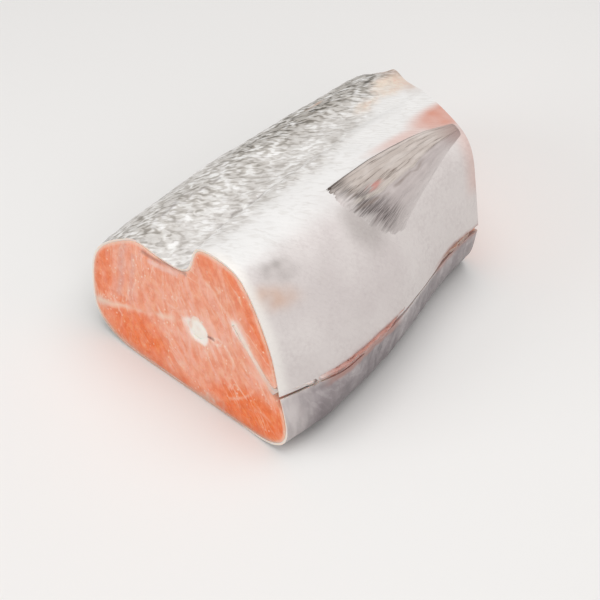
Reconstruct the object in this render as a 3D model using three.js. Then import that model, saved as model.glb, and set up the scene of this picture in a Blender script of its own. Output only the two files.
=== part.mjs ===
// Raw salmon chunk: a skin-on, bone-in length cut out of a gutted salmon, from just behind the gills.
//
// Units are millimetres, +Z is up. The chunk lies on its left flank: +X is the belly side, -X the
// back, +Y the head end and -Y the tail end, and the right pectoral fin lies folded on the top.
// The origin is the middle of the bottom of the bounding box.
//
// Every piece comes from one body. Its cross-section is a smooth line through named landmarks, which
// runs from the upper lip of the belly slit over the top, round the back, along the underside and up
// to the lower lip. The landmarks shift between the tail-side cut (station 0) and the head-side cut
// (station 1), and each piece takes the body's outline at its own depth under the surface.

import * as THREE from 'three';

// ---- Driving dimensions ----

const TAIL_CUT_LEAN = 8; // degrees, the top of the tail-side cut leans toward the head
const HEAD_CUT_MIDDLE = 172.6; // Y of the head-side cut where it crosses X = 0
const HEAD_CUT_SLANT = -0.43; // rise of Y for each mm of X: the back is longer than the belly
const CUT_WAVE = { height: 0.5, across: 120, up: 95 }; // a hand-held knife strays in long soft waves

const SKIN = 1.2; // thickness of the skin
const GAP = 0.3; // clearance between touching pieces
const NAPE_SCRAP = { height: 2.4, round: 0.475, spread: [0.022, 0.035] }; // bump on the head-side rim

// Soft dents and swellings: waves round the body and along it, and how each kind drifts the other way.
const SURFACE_WAVE = { height: 0.5, round: 4.9, along: 2.2, drift: [1.4, 0.8] };
const FLAT_UNDERSIDE = [6, 20]; // they fade in over these heights above the flat underside

// Stations where the belly's swell is full and where it ends, and the same for the back.
const BELLY_SWELL = { full: [0.28, 0.48], end: 0.92 };
const BACK_SWELL = { full: [0.5, 0.85], end: 1 };

const SLIT_NARROW = 1.4; // the belly slit where its lips meet
const SLIT_WIDE = 3.6; // and where they gape
const GAPE_NEAR_TAIL = [0.12, 0.2, 0.4, 0.5]; // stations where the gape opens, is open, closes, is shut
const GAPE_NEAR_HEAD = [0.72, 0.86]; // stations where it opens again, and is open
const LIP_STEPS = 2; // steps of the outline that the flesh stops short of the lips

const LINING = 2.4; // thickness of the folded belly membrane
const LINING_TAPER = 0.6; // share of that thickness left at its inner fold
const LINING_INSET = 4.8; // from the lips in to the membrane's edge

const SPINE_WIDTH = 11.5; // backbone, across the fish
const SPINE_HEIGHT = 9;
const SPINE_DIAMOND = 0.1; // how far the backbone's section is drawn out to four corners

// The pectoral fin in plan, across and along the fish: its root close to the head-side cut, and its
// free edge from the long leading ray, round the tip, to the short trailing ray.
const FIN_ROOT = [[6, 168.5], [13, 164.5]];
const FIN_EDGE = [[-5, 86], [6.5, 83.5], [19, 84.5], [28.5, 95], [27, 119]];
const FIN_BOW = -7; // how far the leading ray bows toward the back
const FIN_RAYS = 11;
const FIN_THICKNESS = 0.9; // membrane between the rays
const FIN_RAY_HEIGHT = 0.5; // how far a ray stands proud of the membrane
const FIN_ROOT_THICKNESS = 3.2; // the fleshy root
const FIN_RIPPLE = { height: 1, from: 0.25, length: 0.48, shift: 0.1 }; // outer part, off the flank
const FIN_SPAN = [0.09, 0.38]; // stretch of the body's outline that the fin lies on

// ---- Resolution ----

const STATIONS = 17; // steps along the fish
const STEPS_PER_LANDMARK = 3; // steps round the body between two landmarks
const LINING_STEPS = 9; // steps from the lips to the lining's inner fold
const SPINE_SIDES = 20;
const FIN_STEPS_ALONG = 15;
const FIN_STEPS_PER_RAY = 2;

// ---- Helpers ----

const { lerp, smoothstep, clamp, degToRad } = THREE.MathUtils;

// The shares from 0 to 1 in equal steps, both ends included.
const shares = (steps) => Array.from({ length: steps + 1 }, (_, i) => i / steps);

const wave = (distance, length) => Math.sin((2 * Math.PI * distance) / length);

// A swell rises from the tail-side cut in a quarter of a sine wave.
const riseTo = (full, station) => Math.sin((Math.PI / 2) * clamp(station / full, 0, 1));

// The belly swells quickly, holds, and is slack again at the head-side cut.
function bellyFullness(station) {
  const { full, end } = BELLY_SWELL;
  return riseTo(full[0], station) * (1 - smoothstep(station, full[1], end));
}

// The back is fullest from the middle on, and rounds off close to the head-side cut.
function backFullness(station) {
  const { full, end } = BACK_SWELL;
  const past = clamp((station - full[1]) / (end - full[1]), 0, 1);
  return riseTo(full[0], station) * (1 - past ** 4);
}

// ---- The body's landmarks ----

// Each landmark has its place across and up, first at the tail-side cut and then at the head-side
// cut, and how far it swells out between them where the belly or the back is fullest. A landmark of
// the back settles early on its way to the head, because the back sags only at the tail-side cut.
const evenly = (station) => station;
const early = (station) => 1 - (1 - station) ** 3;
const middle = (tail, head) => ({ tail, head, swell: [0, 0], fullness: bellyFullness, shift: evenly });
const belly = (tail, head, swell) => ({ tail, head, swell, fullness: bellyFullness, shift: evenly });
const back = (tail, head, swell) => ({ tail, head, swell, fullness: backFullness, shift: early });

const SLIT = belly([41.9, 29.6], [31.3, 31], [12, 2.6]);
const FLAP_EDGE = belly([39.2, 37], [30.3, 39.5], [11.6, 2.6]);
const LOWER_FLAP = belly([46.2, 20], [30.2, 23.5], [9.1, 1.2]);

// From the upper flap over the top and the back to the underside, and on to the lower flap.
const ROUND_THE_BODY = [
  FLAP_EDGE,
  belly([34.8, 48.2], [28.3, 48.5], [10.3, 1.8]), // face of the upper flap
  belly([27.6, 60.8], [25, 58.5], [8.2, 0]), // its shoulder
  belly([20.4, 70.4], [20.6, 68.6], [5.4, 0]),
  belly([11, 78], [13.6, 74.4], [2.4, 0]),
  middle([-2, 80.2], [-2, 76]), // crest of the ridge
  back([-13.5, 79.4], [-22.5, 74.6], [0, 0]), // lip over the side-line groove
  back([-17.4, 76.4], [-29, 73.4], [0, 0]), // wall of the groove
  back([-20.4, 66.4], [-32.6, 72], [0, 0]), // foot of the groove
  back([-25.5, 62.8], [-38.5, 70.2], [0, 0.5]),
  back([-40, 61.6], [-48, 67.4], [0, 1.5]), // the back's upper side
  back([-56, 62.4], [-59.6, 64.4], [-1, 3]),
  back([-68.6, 56.6], [-71, 57], [-3.2, 3.8]), // shoulder of the back
  back([-79.5, 48.4], [-81.6, 48.6], [-4, 3.4]),
  back([-84.4, 40], [-87, 39.6], [-3.2, 1.5]),
  back([-85.3, 25], [-88, 25], [-2, 0]), // the back's furthest point
  middle([-81.6, 10.4], [-83.6, 10.6]),
  middle([-68, 2.4], [-68.4, 2.2]),
  middle([-48, 0], [-48, 0]), // the flat underside that it lies on, from here
  belly([28, 0], [12, 0], [4.8, 0]), // to here
  belly([41, 2.2], [21.4, 3], [6.6, 0]),
  belly([47.4, 7], [26, 9.4], [7.2, 0]), // underside of the belly
  belly([48.7, 13.2], [28.6, 16.4], [7.4, 0]), // belly tip
  LOWER_FLAP,
];

// The folded belly membrane runs in from the slit between the two flaps.
const LINING_FOLD = [
  belly([35.8, 32.6], [24.4, 33], [11.4, 2.6]),
  belly([23.6, 43.4], [12, 38.6], [6, 1.2]),
  belly([12, 53.4], [2, 47], [1.2, 0]),
];

const SPINE_CENTRE = middle([-10, 38.4], [-12, 39.5]);

// ---- The body ----

function place({ tail, head, swell, fullness, shift }, station) {
  const [x, z] = [0, 1].map((axis) => (
    lerp(tail[axis], head[axis], shift(station)) + swell[axis] * fullness(station)
  ));
  return new THREE.Vector2(x, z);
}

// The lips meet at the tail-side cut, gape over the first third, close, and gape again near the head.
function slitWidth(station) {
  const [opens, open, closes, shut] = GAPE_NEAR_TAIL;
  const nearTail = smoothstep(station, opens, open) * (1 - smoothstep(station, closes, shut));
  const nearHead = smoothstep(station, ...GAPE_NEAR_HEAD);
  return lerp(SLIT_NARROW, SLIT_WIDE, Math.max(nearTail, nearHead));
}

function smoothLine(points) {
  const raised = points.map((p) => new THREE.Vector3(p.x, p.y, 0));
  return new THREE.CatmullRomCurve3(raised, false, 'centripetal');
}

// The body's outline at a station, as a curve from the upper lip round to the lower lip.
const outlines = new Map();
function outline(station) {
  if (!outlines.has(station)) {
    const slit = place(SLIT, station);
    const upward = place(FLAP_EDGE, station).sub(place(LOWER_FLAP, station)).normalize();
    const reach = slitWidth(station) / 2;
    const upperLip = slit.clone().addScaledVector(upward, reach);
    const lowerLip = slit.clone().addScaledVector(upward, -reach);
    const round = ROUND_THE_BODY.map((mark) => place(mark, station));
    outlines.set(station, smoothLine([upperLip, ...round, lowerLip]));
  }
  return outlines.get(station);
}

// Y of a point of a cross-section: stations are spread evenly between the two slanted cuts.
function along(x, z, station) {
  const stray = CUT_WAVE.height * wave(x + 20, CUT_WAVE.across) * wave(z + 18, CUT_WAVE.up);
  const tailCut = z * Math.tan(degToRad(TAIL_CUT_LEAN)) + stray;
  const headCut = HEAD_CUT_MIDDLE + HEAD_CUT_SLANT * x + stray;
  return lerp(tailCut, headCut, station);
}

// How far the surface stands proud of the outline, in soft dents and swellings and in the scrap that
// the knife left on the nape.
function relief(round, station) {
  const { height, drift } = SURFACE_WAVE;
  const roundWave = wave(round * SURFACE_WAVE.round + station * drift[0], 1);
  const alongWave = wave(station * SURFACE_WAVE.along + round * drift[1], 1);
  const { height: scrapHeight, spread } = NAPE_SCRAP;
  const roundFromScrap = (round - NAPE_SCRAP.round) / spread[0];
  const alongFromScrap = (1 - station) / spread[1];
  const scrap = scrapHeight * Math.exp(-(roundFromScrap ** 2) - alongFromScrap ** 2);
  return height * roundWave * alongWave + scrap;
}

// A point of the body at a share of the way round, at a station and a depth under the surface.
// The underside stays flat, so no point comes lower than its own depth.
function bodyPoint(round, station, depth) {
  const curve = outline(station);
  const on = curve.getPoint(round);
  const run = curve.getTangent(round);
  const inset = depth - relief(round, station) * smoothstep(on.y, ...FLAT_UNDERSIDE);
  const x = on.x - run.y * inset;
  const z = Math.max(on.y + run.x * inset, depth);
  return new THREE.Vector3(x, along(x, z, station), z);
}

// ---- Meshes ----

function solid(points, faces) {
  const geometry = new THREE.BufferGeometry();
  const coordinates = points.flatMap((p) => [p.x, p.y, p.z]);
  geometry.setAttribute('position', new THREE.Float32BufferAttribute(coordinates, 3));
  geometry.setIndex(faces.flat());
  geometry.computeVertexNormals();
  return geometry;
}

// Lofts a closed solid through its sections, given from the tail end to the head end. A section is a
// list of loops: the outline, counter-clockwise as seen from the tail, and any bore, clockwise.
function loft(sections) {
  const points = sections.flat(2);
  const size = sections[0].flat().length;
  const faces = [];
  for (let section = 0; section + 1 < sections.length; section += 1) {
    let first = section * size;
    for (const loop of sections[section]) {
      for (let i = 0; i < loop.length; i += 1) {
        const a = first + i;
        const b = first + ((i + 1) % loop.length);
        faces.push([a, b + size, b], [a, a + size, b + size]);
      }
      first += loop.length;
    }
  }
  const last = points.length - size;
  faces.push(...fillEnd(sections[0]));
  for (const [a, b, c] of fillEnd(sections.at(-1))) faces.push([last + a, last + c, last + b]);
  return solid(points, faces);
}

// Fills the end of a loft. Points in a straight row would be skipped, so the row is bowed by a hair
// while the triangles are chosen.
function fillEnd(loops) {
  const bowed = loops.map((loop) => loop.map((p) => new THREE.Vector2(p.x, p.z + p.x * p.x * 1e-5)));
  return THREE.ShapeUtils.triangulateShape(bowed[0], bowed.slice(1));
}

// Closes a thin sheet between an outer and an inner grid of points, both split into triangles alike.
// The rows run toward the head, and each row runs the way the body's outline does.
function sheet(outerRows, innerRows) {
  const columns = outerRows[0].length;
  const rows = outerRows.length;
  const inner = rows * columns;
  const faces = [];
  const wall = (a, b) => faces.push([a, b, b + inner], [a, b + inner, a + inner]);
  for (let row = 0; row + 1 < rows; row += 1) {
    for (let column = 0; column + 1 < columns; column += 1) {
      const a = row * columns + column;
      const b = a + 1;
      const [c, d] = [a + columns, b + columns];
      faces.push([a, d, b], [a, c, d]);
      faces.push([a + inner, b + inner, d + inner], [a + inner, d + inner, c + inner]);
    }
    const start = row * columns;
    const end = start + columns - 1;
    wall(start + columns, start);
    wall(end, end + columns);
  }
  for (let column = 0; column + 1 < columns; column += 1) {
    const far = inner - columns + column;
    wall(column, column + 1);
    wall(far + 1, far);
  }
  return solid([...outerRows.flat(), ...innerRows.flat()], faces);
}

const stations = shares(STATIONS);
const fullRound = shares((ROUND_THE_BODY.length + 1) * STEPS_PER_LANDMARK);

// ---- Skin: an open shell, from lip to lip ----

function skinGeometry() {
  const rows = (depth) => stations.map((station) => (
    fullRound.map((round) => bodyPoint(round, station, depth))
  ));
  return sheet(rows(0), rows(SKIN));
}

// ---- Belly lining: the folded membrane between the flaps ----

// The line from the membrane's edge behind the lips to its inner fold.
function liningLine(station) {
  const fold = LINING_FOLD.map((mark) => place(mark, station));
  const slit = place(SLIT, station);
  const edge = slit.clone().add(fold[0].clone().sub(slit).setLength(LINING_INSET));
  return smoothLine([edge, ...fold]);
}

// The two sides of the lining, or of the room that it needs, from its edge to its inner fold. Where
// the lips gape, the membrane's edge is as thick as the gape.
function liningSides(station, clearance) {
  const line = liningLine(station);
  const gape = Math.max(0, slitWidth(station) - LINING) / 2;
  const side = (sign) => shares(LINING_STEPS).map((share) => {
    const on = line.getPoint(share);
    const run = line.getTangent(share);
    const half = (LINING / 2) * lerp(1, LINING_TAPER, share ** 3) + gape * (1 - share) ** 4;
    const out = sign * (half + clearance);
    const past = share === 1 ? clearance : 0;
    const x = on.x + run.y * out + run.x * past;
    const z = on.y - run.x * out + run.y * past;
    return new THREE.Vector3(x, along(x, z, station), z);
  });
  return { lower: side(-1), upper: side(1) };
}

function liningGeometry() {
  const sections = stations.map((station) => {
    const { lower, upper } = liningSides(station, 0);
    return [[...lower.toReversed(), ...upper]];
  });
  return loft(sections);
}

// ---- Backbone ----

function spineRing(station, clearance) {
  const centre = place(SPINE_CENTRE, station);
  return Array.from({ length: SPINE_SIDES }, (_, i) => {
    const turn = (i / SPINE_SIDES) * 2 * Math.PI;
    const corner = 1 + SPINE_DIAMOND * Math.cos(4 * turn);
    const x = centre.x + Math.cos(turn) * ((SPINE_WIDTH / 2) * corner + clearance);
    const z = centre.y + Math.sin(turn) * ((SPINE_HEIGHT / 2) * corner + clearance);
    return new THREE.Vector3(x, along(x, z, station), z);
  });
}

function backboneGeometry() {
  return loft(stations.map((station) => [spineRing(station, 0)]));
}

// ---- Flesh: fills the skin, round the backbone and the lining ----

function fleshGeometry() {
  const betweenLips = fullRound.slice(LIP_STEPS, -LIP_STEPS);
  const sections = stations.map((station) => {
    const { lower, upper } = liningSides(station, GAP);
    const under = betweenLips.map((round) => bodyPoint(round, station, SKIN + GAP));
    const bore = spineRing(station, GAP).reverse();
    return [[...under, ...lower, ...upper.toReversed()], bore];
  });
  return loft(sections);
}

// ---- Pectoral fin: a thin wavy fan that lies on the flank ----

// The point at a height over the body's top side that has the given place in plan. The station is
// guessed, the place across is found by halving, and the station is put right from it.
const PASSES = 5;
const HALVINGS = 22;
function overFlank(x, y, height) {
  let station = 0.5;
  let found;
  for (let pass = 0; pass < PASSES; pass += 1) {
    let [low, high] = FIN_SPAN;
    for (let step = 0; step < HALVINGS; step += 1) {
      const half = (low + high) / 2;
      if (bodyPoint(half, station, -height).x > x) low = half;
      else high = half;
    }
    found = bodyPoint(low, station, -height);
    const tailCut = along(found.x, found.z, 0);
    station = (y - tailCut) / (along(found.x, found.z, 1) - tailCut);
  }
  return found;
}

const finEdge = new THREE.SplineCurve(FIN_EDGE.map(([x, y]) => new THREE.Vector2(x, y)));

// A point of the fin, at a share of the way across the rays and a share of the way out along them.
function finPoint(across, out, onTop) {
  const root = FIN_ROOT[0].map((near, axis) => lerp(near, FIN_ROOT[1][axis], across));
  const tip = finEdge.getPoint(across);
  const bow = FIN_BOW * (1 - across) ** 1.5 * Math.sin(Math.PI * out ** 0.8);
  const x = lerp(root[0], tip.x, out) + bow;
  const y = lerp(root[1], tip.y, out);
  const { height, from, length, shift } = FIN_RIPPLE;
  const ripple = height * smoothstep(out, from, 1) * (0.5 + 0.5 * wave(across + shift, length));
  const rayWidth = 1 / FIN_RAYS;
  const ray = FIN_RAY_HEIGHT * (0.5 + 0.5 * wave(across + rayWidth / 4, rayWidth));
  const fleshyRoot = (FIN_ROOT_THICKNESS - FIN_THICKNESS) * (1 - out) ** 3;
  const thickness = onTop ? FIN_THICKNESS + ray + fleshyRoot : 0;
  return overFlank(x, y, GAP + ripple + thickness);
}

function finGeometry() {
  const rows = (onTop) => shares(FIN_STEPS_ALONG).reverse().map((out) => (
    shares(FIN_RAYS * FIN_STEPS_PER_RAY).reverse().map((across) => finPoint(across, out, onTop))
  ));
  return sheet(rows(true), rows(false));
}

// ---- The chunk ----

function piece(name, geometry, colour, roughness) {
  const material = new THREE.MeshStandardMaterial({ color: colour, roughness, metalness: 0 });
  const mesh = new THREE.Mesh(geometry, material);
  mesh.name = name;
  return mesh;
}

const chunk = new THREE.Group();
chunk.add(
  piece('flesh', fleshGeometry(), '#ee8258', 0.4),
  piece('skin', skinGeometry(), '#d8d4d0', 0.32),
  piece('backbone', backboneGeometry(), '#ead9c8', 0.5),
  piece('belly_lining', liningGeometry(), '#ecd9cc', 0.4),
  piece('pectoral_fin', finGeometry(), '#a59e98', 0.4),
);

const box = new THREE.Box3().setFromObject(chunk);
const centre = box.getCenter(new THREE.Vector3());
chunk.position.set(-centre.x, -centre.y, -box.min.z);

export default chunk;
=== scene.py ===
# %% [markdown]
# # A raw salmon chunk
#
# A thick length of a whole gutted salmon lies on its left flank. Its skin is bright white over the
# ridge, silvery and scaly along the back, and its cut face shows moist orange muscle round a sawn
# backbone. The solids that this script loads give the true outer form and every size. What is added
# here is the finish: the crinkled scales, the dents of soft skin, the grain of the muscle, the rays
# of the fin and the wet gloss on all of them.

import math

import bmesh
import bpy
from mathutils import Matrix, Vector, kdtree, noise
from mathutils.bvhtree import BVHTree


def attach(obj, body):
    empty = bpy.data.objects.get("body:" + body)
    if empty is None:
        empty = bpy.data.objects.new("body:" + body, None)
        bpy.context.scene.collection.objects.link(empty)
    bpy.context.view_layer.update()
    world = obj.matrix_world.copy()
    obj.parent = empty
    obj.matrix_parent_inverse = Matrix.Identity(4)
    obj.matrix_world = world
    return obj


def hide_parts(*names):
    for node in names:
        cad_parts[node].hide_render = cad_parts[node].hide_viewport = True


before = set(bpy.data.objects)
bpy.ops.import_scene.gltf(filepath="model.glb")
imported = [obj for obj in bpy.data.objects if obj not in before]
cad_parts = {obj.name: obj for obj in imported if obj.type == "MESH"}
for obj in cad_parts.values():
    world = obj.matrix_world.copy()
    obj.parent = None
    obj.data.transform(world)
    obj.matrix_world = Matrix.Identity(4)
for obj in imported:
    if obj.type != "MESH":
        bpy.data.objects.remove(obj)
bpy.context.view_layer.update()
print("solids:", ", ".join(sorted(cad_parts)))

# %% [markdown]
# ## Working in the fish's own millimetres
#
# Blender works in metres, but a fish is easier to think about in millimetres, measured from one spot
# on it. Here that spot is the foot of the tail-side cut: X runs to the belly, Y to the head and Z up.
# Each place below is given that way, and two small helpers turn places to and from the frame.

# %% Places
FOOT_OF_TAIL_CUT = Vector((19.7, -105.0, 0.0))


def on_fish(co):
    """A point of the frame, in metres, as millimetres from the foot of the tail-side cut."""
    return co * 1000 - FOOT_OF_TAIL_CUT


def in_frame(x, y, z=0.0):
    """The same the other way round."""
    return (Vector((x, y, z)) + FOOT_OF_TAIL_CUT) / 1000


print("foot of the tail-side cut:", [round(c, 1) for c in FOOT_OF_TAIL_CUT], "mm in the frame")

# %% Soft steps, patches and noise
def smooth(value, start, end):
    """Goes softly from 0 at start to 1 at end. Start may be the larger one."""
    share = min(1.0, max(0.0, (value - start) / (end - start)))
    return share * share * (3 - 2 * share)


def mix(a, b, share):
    """The value at a share of the way from a to b."""
    return a + (b - a) * share


def follow(points, at):
    """The height of a line through (place, height) points, at a place along it."""
    if at <= points[0][0]:
        return points[0][1]
    for (start, low), (end, high) in zip(points, points[1:]):
        if at <= end:
            return mix(low, high, (at - start) / (end - start))
    return points[-1][1]


def patch(x, y, centre, radii, turn=0.0, full=0.15):
    """A soft oval patch, turned by turn degrees: 1 out to a full share of its radii, 0 outside."""
    angle = math.radians(turn)
    dx, dy = x - centre[0], y - centre[1]
    across = (dx * math.cos(angle) + dy * math.sin(angle)) / radii[0]
    along = (dy * math.cos(angle) - dx * math.sin(angle)) / radii[1]
    return smooth(math.hypot(across, along), 1.0, full)


def wobble(point, size, seed=0.0):
    """Smooth noise from -1 to 1, whose swells are about size millimetres across."""
    return noise.noise(Vector((point.x / size + seed, point.y / size, point.z / size)))


print("a soft step from 0 to 10 is", smooth(2.5, 0, 10), "at 2.5 and", smooth(5, 0, 10), "at 5")

# %% [markdown]
# ## Camera, floor and light
#
# Food looks best from above and close by, through a long lens that keeps its shape calm. The camera
# stands off the belly side of the cut face. Everything is lit by large soft sheets of light, because
# wet skin mirrors its lamps, and a small lamp would leave hard white dots.

# %% Camera
LOOK_AT = in_frame(11.2, 49.6, 40.0)
AZIMUTH = math.radians(43.32)
ELEVATION = math.radians(41.35)
DISTANCE = 0.6576
VIEW_ANGLE = math.radians(24.0)
SENSOR_WIDTH = 36.0

level = math.cos(ELEVATION)
toward_camera = Vector((math.sin(AZIMUTH) * level, -math.cos(AZIMUTH) * level, math.sin(ELEVATION)))
bpy.ops.object.camera_add(location=LOOK_AT + toward_camera * DISTANCE)
camera = bpy.context.object
camera.name = "camera"
camera.rotation_mode = "QUATERNION"
camera.rotation_quaternion = (-toward_camera).to_track_quat("-Z", "Y")
camera.data.sensor_width = SENSOR_WIDTH
camera.data.lens = SENSOR_WIDTH / 2 / math.tan(VIEW_ANGLE / 2)
camera.data.clip_start = 0.01
bpy.context.scene.camera = camera
bpy.context.scene.view_settings.view_transform = "Standard"
print(f"camera {DISTANCE * 1000:.0f} mm away, lens {camera.data.lens:.0f} mm")

# %% Light
LIT_SPOT = in_frame(-10, 90, 30)
ROOM_LIGHT = 0.42
LAMPS = {
    "sheet_above": {"place": (0.10, 0.10, 1.1), "size": 1.3, "watts": 7.8},
    "sheet_beside_camera": {"place": (1.0, -0.75, 0.62), "size": 0.9, "watts": 3.1},
    "sheet_before_cut": {"place": (-0.55, -1.0, 0.5), "size": 0.8, "watts": 3.5},
}
for name, lamp in LAMPS.items():
    place = Vector(lamp["place"])
    bpy.ops.object.light_add(type="AREA", location=place)
    light = bpy.context.object
    light.name = name
    light.rotation_mode = "QUATERNION"
    light.rotation_quaternion = (LIT_SPOT - place).to_track_quat("-Z", "Y")
    light.data.shape = "DISK"
    light.data.size = lamp["size"]
    light.data.energy = lamp["watts"]

world = bpy.data.worlds.new("pale_room")
bpy.context.scene.world = world
world.use_nodes = True
background = world.node_tree.nodes["Background"]
background.inputs["Color"].default_value = (1.0, 1.0, 1.0, 1.0)
background.inputs["Strength"].default_value = ROOM_LIGHT
print("lamps:", ", ".join(LAMPS))

# %% [markdown]
# ## Materials with nodes
#
# A finish is a small network of nodes. One helper adds a node and links it, and one turns the hex
# value of a colour to the linear numbers that a shader works with. Masks painted on the vertices say
# where on the fish each colour goes, and textures break them up at their real size.

# %% Material helpers
def linear(hexadecimal):
    """An sRGB colour such as #d8d4d0 as linear red, green, blue and 1."""
    parts = [int(hexadecimal[i:i + 2], 16) / 255 for i in (1, 3, 5)]
    return tuple(p / 12.92 if p <= 0.04045 else ((p + 0.055) / 1.055) ** 2.4 for p in parts) + (1.0,)


def feed(tree, node, inputs):
    """Gives a node its inputs. One is a value, a socket, or a node, whose first output is linked."""
    for socket, value in inputs.items():
        if isinstance(value, bpy.types.Node):
            value = value.outputs[0]
        if isinstance(value, bpy.types.NodeSocket):
            tree.links.new(value, node.inputs[socket])
        else:
            node.inputs[socket].default_value = value


def add(tree, kind, inputs=None, stops=(), **settings):
    """Adds a node with its inputs and settings. Stops are a ramp's (position, grey level) pairs."""
    made = tree.nodes.new("ShaderNode" + kind)
    for setting, value in settings.items():
        setattr(made, setting, value)
    feed(tree, made, inputs or {})
    for number, (place, level) in enumerate(stops):
        ramp = made.color_ramp.elements
        element = ramp[number] if number < 2 else ramp.new(1.0)
        element.position = place
        element.color = (level, level, level, 1.0)
    return made


def new_material(name):
    """A new material, its node tree and its main shader."""
    made = bpy.data.materials.new(name)
    made.use_nodes = True
    return made, made.node_tree, made.node_tree.nodes["Principled BSDF"]


def coats(tree, ground, *layers):
    """Lays colours over a ground colour, one after the other.

    A layer is a colour and its shares, which are multiplied. A share is a number, a node, a socket,
    or the name under which paint() stored a mask.
    """
    tone = linear(ground)
    for colour, *shares in layers:
        cover = 1.0
        for share in shares:
            if isinstance(share, str):
                share = add(tree, "Attribute", attribute_name=share).outputs["Fac"]
            cover = add(tree, "Math", {0: cover, 1: share}, operation="MULTIPLY")
        over = {0: cover, 6: tone, 7: linear(colour)}
        tone = add(tree, "Mix", over, data_type="RGBA").outputs[2]
    return tone


print("helpers: linear, feed, add, new_material, coats")

# %% Floor
FLOOR_DROP = 0.0002  # metres below the chunk, so that the two surfaces don't touch

bpy.ops.mesh.primitive_plane_add(size=6, location=(0, 0, -FLOOR_DROP))
floor = bpy.context.object
floor.name = "floor"
# Matt card, pressed from pulp: it has no gloss, so the eye sees only soft shadows on it.
paper, tree, shader = new_material("matt_white_paper")
feed(tree, shader, {"Base Color": linear("#eceae8"), "Roughness": 0.9})
floor.data.materials.append(paper)
print("floor:", floor.name)

# %% [markdown]
# ## Helpers for shaping
#
# Most pieces start from a solid of the frame, whose triangles are loose, so a copy is merged before
# it is worked on. Relief is pushed in along each vertex's normal, by an amount that depends on where
# the vertex is.

# %% Shaping helpers
def only(*objects):
    """Leaves just these objects selected, with the first one active."""
    bpy.ops.object.select_all(action="DESELECT")
    for item in objects:
        item.select_set(True)
    bpy.context.view_layer.objects.active = objects[0]


def merged_copy(node, name):
    """A copy of a solid of the frame, as a new object without loose triangles."""
    piece = bpy.data.objects.new(name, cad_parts[node].data.copy())
    bpy.context.collection.objects.link(piece)
    piece.data.materials.clear()
    only(piece)
    bpy.ops.mesh.customdata_custom_splitnormals_clear()
    bpy.ops.object.mode_set(mode="EDIT")
    bpy.ops.mesh.select_all(action="SELECT")
    bpy.ops.mesh.remove_doubles(threshold=1e-6)
    bpy.ops.mesh.select_all(action="DESELECT")
    bpy.ops.object.mode_set(mode="OBJECT")
    return piece


def apply(piece, kind, **settings):
    """Adds a modifier with these settings and applies it."""
    only(piece)
    modifier = piece.modifiers.new(kind.lower(), kind)
    for setting, value in settings.items():
        setattr(modifier, setting, value)
    bpy.ops.object.modifier_apply(modifier=modifier.name)


def press(piece, relief):
    """Moves each vertex along its normal, by what relief(vertex) gives in millimetres."""
    vertices = piece.data.vertices
    moves = [v.normal * (relief(v) / 1000) for v in vertices]
    for v, move in zip(vertices, moves):
        v.co += move
    piece.data.update()


def paint(piece, **zones):
    """Stores each zone's share at each vertex. A zone is a function of the place in mm on the fish."""
    places = [on_fish(v.co) for v in piece.data.vertices]
    for name, zone in zones.items():
        layer = piece.data.attributes.new(name, "FLOAT", "POINT")
        layer.data.foreach_set("value", [zone(p) for p in places])


def finish_piece(piece, node, slot, *materials, angle=50):
    """Gives the piece its materials and smooth shading, and lets it stand for its solid."""
    for number, material in enumerate(materials):
        if number == len(piece.data.materials):
            piece.data.materials.append(None)
        piece.data.materials[number] = material
    only(piece)
    bpy.ops.object.shade_smooth_by_angle(angle=math.radians(angle))
    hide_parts(node)
    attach(piece, "root")
    print(f"{piece.name}: {len(piece.data.polygons)} faces")


print("helpers: only, merged_copy, apply, press, paint, finish_piece")

# %% [markdown]
# ## Skin: a clean sheet to work on
#
# The skin is one sheet, wrapped round the fish from lip to lip of the belly slit. Its solid is made
# of triangles, and triangles crease when they are rounded. So the outer side of the solid is read
# back as rows of points: the first row lies along the tail-side cut, and the next row is always what
# its neighbours reach. A plain grid then takes the place of those rows, and rounds off cleanly.

# %% Skin: rows of the outer side
SKIN_THICKNESS = 1.2
EDGE_OF_SHEET = math.radians(55)  # a bend sharper than this ends the sheet's outer side


def outer_rows(node):
    """The points of a sheet's outer side, as rows from the tail to the head, each from lip to lip."""
    piece = merged_copy(node, "rows")
    bpy.ops.object.mode_set(mode="EDIT")
    bpy.ops.mesh.select_mode(type="FACE")
    mesh = bmesh.from_edit_mesh(piece.data)
    max(mesh.faces, key=lambda face: face.calc_center_median().z).select = True
    bmesh.update_edit_mesh(piece.data)
    bpy.ops.mesh.faces_select_linked_flat(sharpness=EDGE_OF_SHEET)
    mesh = bmesh.from_edit_mesh(piece.data)
    outside = {face for face in mesh.faces if face.select}
    inner_edges = {e for face in outside for e in face.edges}
    rim = [e for e in inner_edges if sum(face in outside for face in e.link_faces) == 1]
    lips = {e for e in rim if abs(e.verts[0].co.y - e.verts[1].co.y) > 0.7 * e.calc_length()}
    row = {v for e in rim if e not in lips for v in e.verts if v.co.y < 0}
    rows, seen = [], set()
    while row:
        seen |= row
        rows.append([v.co.copy() for v in in_order(row, inner_edges)])
        reached = {e.other_vert(v) for v in row for e in v.link_edges if e in inner_edges}
        row = reached - seen
    bpy.ops.object.mode_set(mode="OBJECT")
    bpy.data.objects.remove(piece)
    return rows


def in_order(row, edges):
    """The points of one row, sorted from the upper lip round to the lower lip."""
    reached = {v: [e.other_vert(v) for e in v.link_edges if e in edges] for v in row}
    steps = {v: [other for other in others if other in row] for v, others in reached.items()}
    ends = [v for v in row if len(steps[v]) == 1]
    line = [max(ends, key=lambda v: v.co.z)]
    while len(line) < len(row):
        line.append(next(v for v in steps[line[-1]] if v not in line[-2:]))
    return line


skin_rows = outer_rows("skin")
print(f"skin: {len(skin_rows)} rows of {len(skin_rows[0])} points")

# %% Skin: the sheet
CREST = 18  # column of the ridge's crest, from which the way round the body is measured


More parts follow.
